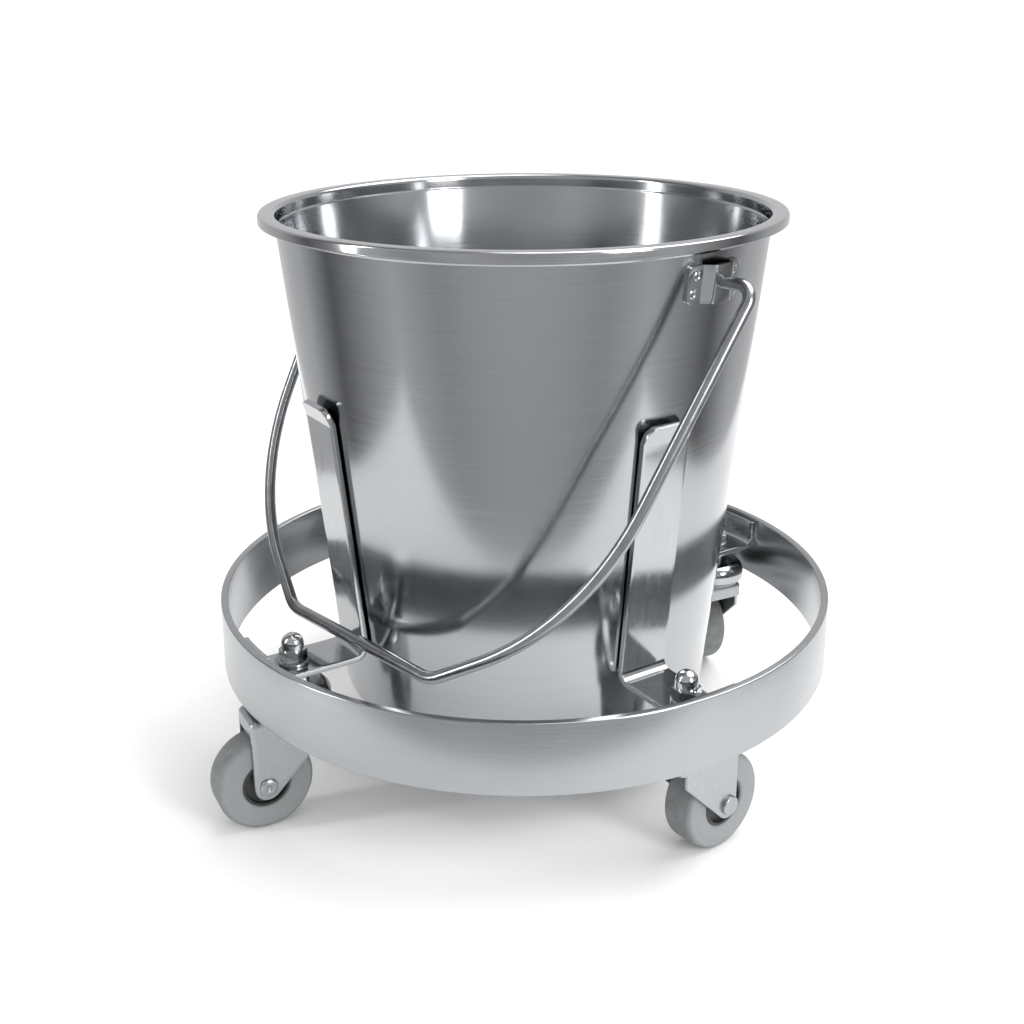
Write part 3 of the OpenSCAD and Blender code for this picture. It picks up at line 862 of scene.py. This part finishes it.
def fork_skin():
    """Points and faces of the fork's outer face: crown, skirt and two legs."""
    loop = crown_loop()
    count = len(loop)
    points, faces = [], []
    rows = []
    centre_x = (CROWN_BACK + CROWN_FRONT) / 2
    half_x, half_y = (CROWN_BACK - CROWN_FRONT) / 2, FORK_W / 2

    def ring_row(inset, z):
        first = len(points)
        for x, y in loop:
            points.append(((x - centre_x) * (1 - inset / half_x) + centre_x,
                           y * (1 - inset / half_y), z))
        return first

    for k in range(6):
        a = math.radians(90 - 18 * k)
        inset, drop = CROWN_BEND * (1 - math.cos(a)), CROWN_BEND * (1 - math.sin(a))
        rows.append(ring_row(inset, CROWN_TOP - drop))
    rows.append(ring_row(0, CROWN_TOP - 5.5))
    rows.append(ring_row(0, SKIRT_Z))
    for upper, lower in zip(rows, rows[1:]):
        for c in range(count):
            n = (c + 1) % count
            faces.append((upper + c, upper + n, lower + n, lower + c))
    # the flat crown, closed by a fan round its middle
    inner = ring_row(8.0, CROWN_TOP)
    for c in range(count):
        n = (c + 1) % count
        faces.append((inner + c, inner + n, rows[0] + n, rows[0] + c))
    faces.append(tuple(range(inner, inner + count)))
    # the legs hang from the skirt's lower row
    skirt = rows[-1]
    layers = 8
    hung = {}
    for c, (x, y) in enumerate(loop):
        if abs(y) > half_y - CORNER - 1e-4 and CROWN_FRONT + CORNER < x <= CROWN_BACK + 1e-6:
            low = leg_bottom(min(x, CROWN_BACK - 0.01))
            column = [skirt + c]
            for k in range(1, layers + 1):
                column.append(len(points))
                points.append((x, y, SKIRT_Z + (low - SKIRT_Z) * k / layers))
            hung[c] = column
    for c in hung:
        n = (c + 1) % count
        if n in hung and loop[c][1] * loop[n][1] > 0:
            for k in range(layers):
                faces.append((hung[c][k], hung[n][k], hung[n][k + 1], hung[c][k + 1]))
    return points, faces


def fork(corner):
    """The pressed fork, and the raised race on its crown that the balls run on."""
    place, _ = castor_place(corner)
    piece = solid("pressed_fork_" + corner, *fork_skin(), place)
    thick = piece.modifiers.new("thickness", "SOLIDIFY")
    thick.thickness = FORK_T * MM
    thick.offset = -1.0
    softened(piece, 0.45, 2, 40)
    applied(piece)
    fit(piece, plated_steel, "swivel_" + corner, "fork_steel", "castor_fork_" + corner)
    race_top = CROWN_TOP + 2
    race = rounded([(5.1, CROWN_TOP, 0), (16.4, CROWN_TOP, 0.4), (16, race_top, 0.8),
                    (14.6, race_top, 0.5), (13, race_top - 0.7, 2), (11.4, race_top, 0.5),
                    (5.1, race_top, 0)], closed=True, turn=20)
    seat = solid("fork_race_" + corner, *turned(race, 72), place)
    fit(seat, plated_steel, "swivel_" + corner, "fork_steel")
    return piece


forks = [fork(corner) for corner in CORNERS]
print("fork box:", [round(v / MM, 1) for v in forks[0].dimensions])

# %% [markdown]
# ### Cup, rivet and wheel
# The swivel's balls run under a domed cup. The wheel turns on a riveted axle whose factory head
# is on one side, and whose other end is rolled over and dimpled by the riveting tool.

# %% Turn the swivel cup
def swivel_cup(corner):
    place, _ = castor_place(corner)
    bottom, top = (corner_point[2] for corner_point in span("swivel_cup_" + corner))
    outline = rounded([(4.2, top, 0.3), (19, top, 7.6), (19, bottom, 0.5), (17.6, bottom, 0.3),
                       (17.6, top - 6.6, 1.0), (4.2, top - 6.6, 0)], closed=True, turn=9)
    piece = solid("domed_cup_" + corner, *turned(outline, 96), place)
    return fit(piece, bright_strip, "frame", "polished_steel", "swivel_cup_" + corner)


cups = [swivel_cup(corner) for corner in CORNERS]
print("cups:", len(cups))


# %% Head the axle rivet
def on_axle(corner):
    """The matrix that stands a turned shape on the axle, its Z along the axle's joint axis."""
    place, trail = castor_place(corner)
    return place @ Matrix.Translation((trail, 0, AXLE_Z)) @ Matrix.Rotation(-math.pi / 2, 4, "X")


def rivet(corner):
    """The axle rivet: a flat factory head, and an end that is rolled over and dimpled."""
    half = FORK_W / 2
    outline = rounded([
        (0, -half - 2, 0), (5.2, -half - 2, 0.7), (5.2, -half, 0), (3, -half, 0),
        (3, half, 0), (4.95, half, 0.2), (4.95, half + 1.1, 0.9), (3.4, half + 1.75, 0.8),
        (1.6, half + 1.6, 0.6), (0.9, half + 0.7, 0.5), (0, half + 0.7, 0)], turn=15)
    piece = solid("axle_pin_" + corner, *turned(outline, 64), on_axle(corner))
    return fit(piece, turned_steel, "swivel_" + corner, "plain_steel", "axle_rivet_" + corner)


rivets = [rivet(corner) for corner in CORNERS]
print("rivets:", len(rivets))

# %% Mould the tyre and the hub
TYRE_R = AXLE_Z
TYRE_IN = 13.0
HALF_TREAD = 9.5


def tyre(corner):
    """The tyre, with a groove on each face and a value that says how much a point rolls."""
    half = HALF_TREAD
    side = [(TYRE_IN, half - 0.7, 0.3), (TYRE_IN + 0.8, half, 0.4), (TYRE_R - 5.5, half, 0.5),
            (TYRE_R - 4.6, half - 0.25, 0.5), (TYRE_R, half - 0.3, 3.1)]
    outline = rounded([(r, -z, f) for r, z, f in side] + list(reversed(side)),
                      closed=True, turn=12)
    piece = solid("tyre_" + corner, *turned(outline, 128), on_axle(corner))
    # how much each point rolls on the ground: 1 on the tread, 0 on the faces
    pivot = Vector(joints["wheel_spin_" + corner]["pos_m"])
    axis = Vector(joints["wheel_spin_" + corner]["axis"])
    tread = []
    for vertex in piece.data.vertices:
        arm = vertex.co - pivot
        radius = (arm - axis * arm.dot(axis)).length / MM
        tread.append(max(0.0, min(1.0, (radius - (TYRE_R - 2.5)) / 2.3)))
    piece.data.attributes.new("tread", "FLOAT", "POINT").data.foreach_set("value", tread)
    return fit(piece, grey_rubber, "wheel_" + corner, "grey_rubber", "wheel_tyre_" + corner)


def hub(corner):
    """The hub: a boss on the axle sleeve, a dished web and a rim under the tyre."""
    half = HALF_TREAD
    side = [(4.06, half + 0.5, 0.2), (6.5, half + 0.5, 0.5), (6.7, half - 2.6, 0.4),
            (11.2, half - 3.0, 0.5), (11.5, half - 0.4, 0.3), (TYRE_IN, half - 0.5, 0.3)]
    outline = rounded([(r, -z, f) for r, z, f in side] + list(reversed(side)),
                      closed=True, turn=18)
    piece = solid("hub_" + corner, *turned(outline, 96), on_axle(corner))
    return fit(piece, black_plastic, "wheel_" + corner, "hub_plastic", "wheel_hub_" + corner)


tyres = [tyre(corner) for corner in CORNERS]
hubs = [hub(corner) for corner in CORNERS]
print("tyre radius in mm:", round(tyres[0].dimensions.z / 2 / MM, 2))

# %% [markdown]
# ## Solids that stay
# Stems, bearing balls and axle sleeves are already true in shape and sit almost out of sight, so
# the solids themselves stay and only get the finish of turned steel.

# %% Finish the kept solids
for name, thing in frame["nodes"].items():
    if name.startswith(("castor_stem", "swivel_balls", "axle_sleeve")):
        thing.data.materials.clear()
        thing.data.materials.append(turned_steel)
print("kept solids dressed")

# %% [markdown]
# ## Floor, light and camera
# Polished metal shows its surroundings more than itself. It needs a pale table, broad soft lights
# for its bright bands and darker parts of the room for the contrast between them. The table ends
# a little way in front of the pail, so that the upper wall mirrors the grey room and the lower
# wall mirrors the white table.

# %% Lay a pale floor
floor_finish, tree, shader, place = finish("matt white paper")
fibre = add(tree, "ShaderNodeTexNoise", {"Vector": place, "Scale": 1 / (2 * MM), "Detail": 2.0})
tint = add(tree, "ShaderNodeMapRange",
           {"Value": fibre.outputs[0], "To Min": 0.86, "To Max": 0.90})
tree.links.new(tint.outputs[0], shader.inputs["Base Color"])
shader.inputs["Roughness"].default_value = 0.9
TABLE_FRONT, TABLE_BACK, TABLE_SIDE = -300, 6000, 440
floor = solid("floor", [(-TABLE_SIDE, TABLE_FRONT, 0), (TABLE_SIDE, TABLE_FRONT, 0),
                        (TABLE_SIDE, TABLE_BACK, 0), (-TABLE_SIDE, TABLE_BACK, 0)],
              [(0, 1, 2, 3)], outward=False)
floor.data.materials.append(floor_finish)
print("table is", 2 * TABLE_SIDE, "mm wide")

# %% Light the studio
world = bpy.data.worlds.new("studio")
bpy.context.scene.world = world
world.use_nodes = True
tree = world.node_tree
background = tree.nodes["Background"]
direction = add(tree, "ShaderNodeTexCoord").outputs["Generated"]
depth = add(tree, "ShaderNodeSeparateXYZ", {"Vector": direction}).outputs["Y"]
along = add(tree, "ShaderNodeMapRange", {"Value": depth, "From Min": -1.0, "From Max": 1.0})
ramp = add(tree, "ShaderNodeValToRGB", {"Fac": along.outputs[0]})
# how bright the room is, from the wall in front of the pail (0) round to the wall behind it (1)
walls = [(0.0, 0.72), (0.05, 0.92), (0.16, 0.66), (0.30, 0.98), (0.46, 0.55), (0.60, 0.22),
         (0.78, 0.9), (1.0, 1.0)]
stops = ramp.color_ramp.elements
while len(stops) < len(walls):
    stops.new(0.5)
for stop, (where, level) in zip(stops, walls):
    stop.position = where
    stop.color = (level, level, level * 1.01, 1)
tree.links.new(ramp.outputs[0], background.inputs["Color"])
background.inputs["Strength"].default_value = 0.75
# the room behind the object is plain white
paper = add(tree, "ShaderNodeBackground", {"Color": (1, 1, 1, 1), "Strength": 1.05})
seen = add(tree, "ShaderNodeLightPath").outputs["Is Camera Ray"]
both = add(tree, "ShaderNodeMixShader",
           {0: seen, 1: background.outputs[0], 2: paper.outputs[0]})
tree.links.new(both.outputs[0], tree.nodes["World Output"].inputs["Surface"])


def softbox(name, place, aim, width, height, power):
    """A rectangular soft light at a place in metres, aimed at a point."""
    data = bpy.data.lights.new(name, "AREA")
    data.shape = "RECTANGLE"
    data.size = width
    data.size_y = height
    data.energy = power
    lamp = bpy.data.objects.new(name, data)
    lamp.location = place
    lamp.rotation_euler = (Vector(aim) - Vector(place)).to_track_quat("-Z", "Y").to_euler()
    bpy.context.scene.collection.objects.link(lamp)
    return lamp


middle = (0, 0, 0.15)
softbox("key", (1.05, -1.15, 0.75), middle, 0.45, 0.9, 16)
softbox("left strip", (-1.35, -0.42, 0.6), middle, 0.14, 1.3, 8)
sky = bpy.data.lights.new("sky", "SUN")
sky.energy = 2.9
sky.angle = math.radians(60)
sky_lamp = bpy.data.objects.new("sky", sky)
sky_lamp.rotation_euler = Vector((-0.45, -0.25, -1.0)).to_track_quat("-Z", "Y").to_euler()
bpy.context.scene.collection.objects.link(sky_lamp)
print("lights:", len(bpy.data.lights))

# %% Set up the camera
# the camera stands straight in front and looks down a little, with its frame shifted down
EYE = (0, -0.7216, 0.4223)
PITCH, YAW, ROLL = 16.595, -0.507, -0.30
camera_data = bpy.data.cameras.new("camera")
camera_data.lens = 47.5
camera_data.sensor_width = 36
camera_data.shift_y = -0.109
camera_data.clip_end = 50
camera = bpy.data.objects.new("camera", camera_data)
bpy.context.scene.collection.objects.link(camera)
pitch, yaw, roll = (math.radians(v) for v in (PITCH, YAW, ROLL))
forward = Vector((math.sin(yaw) * math.cos(pitch), math.cos(yaw) * math.cos(pitch),
                  -math.sin(pitch)))
level = Vector((math.cos(yaw), -math.sin(yaw), 0))
upward = level.cross(forward)
across = level * math.cos(roll) + upward * math.sin(roll)
rise = upward * math.cos(roll) - level * math.sin(roll)
camera.matrix_world = (Matrix.Translation(EYE)
                       @ Matrix((across, rise, -forward)).transposed().to_4x4())
bpy.context.scene.camera = camera
bpy.context.scene.view_settings.view_transform = "Standard"
print("lens:", camera_data.lens, "mm")
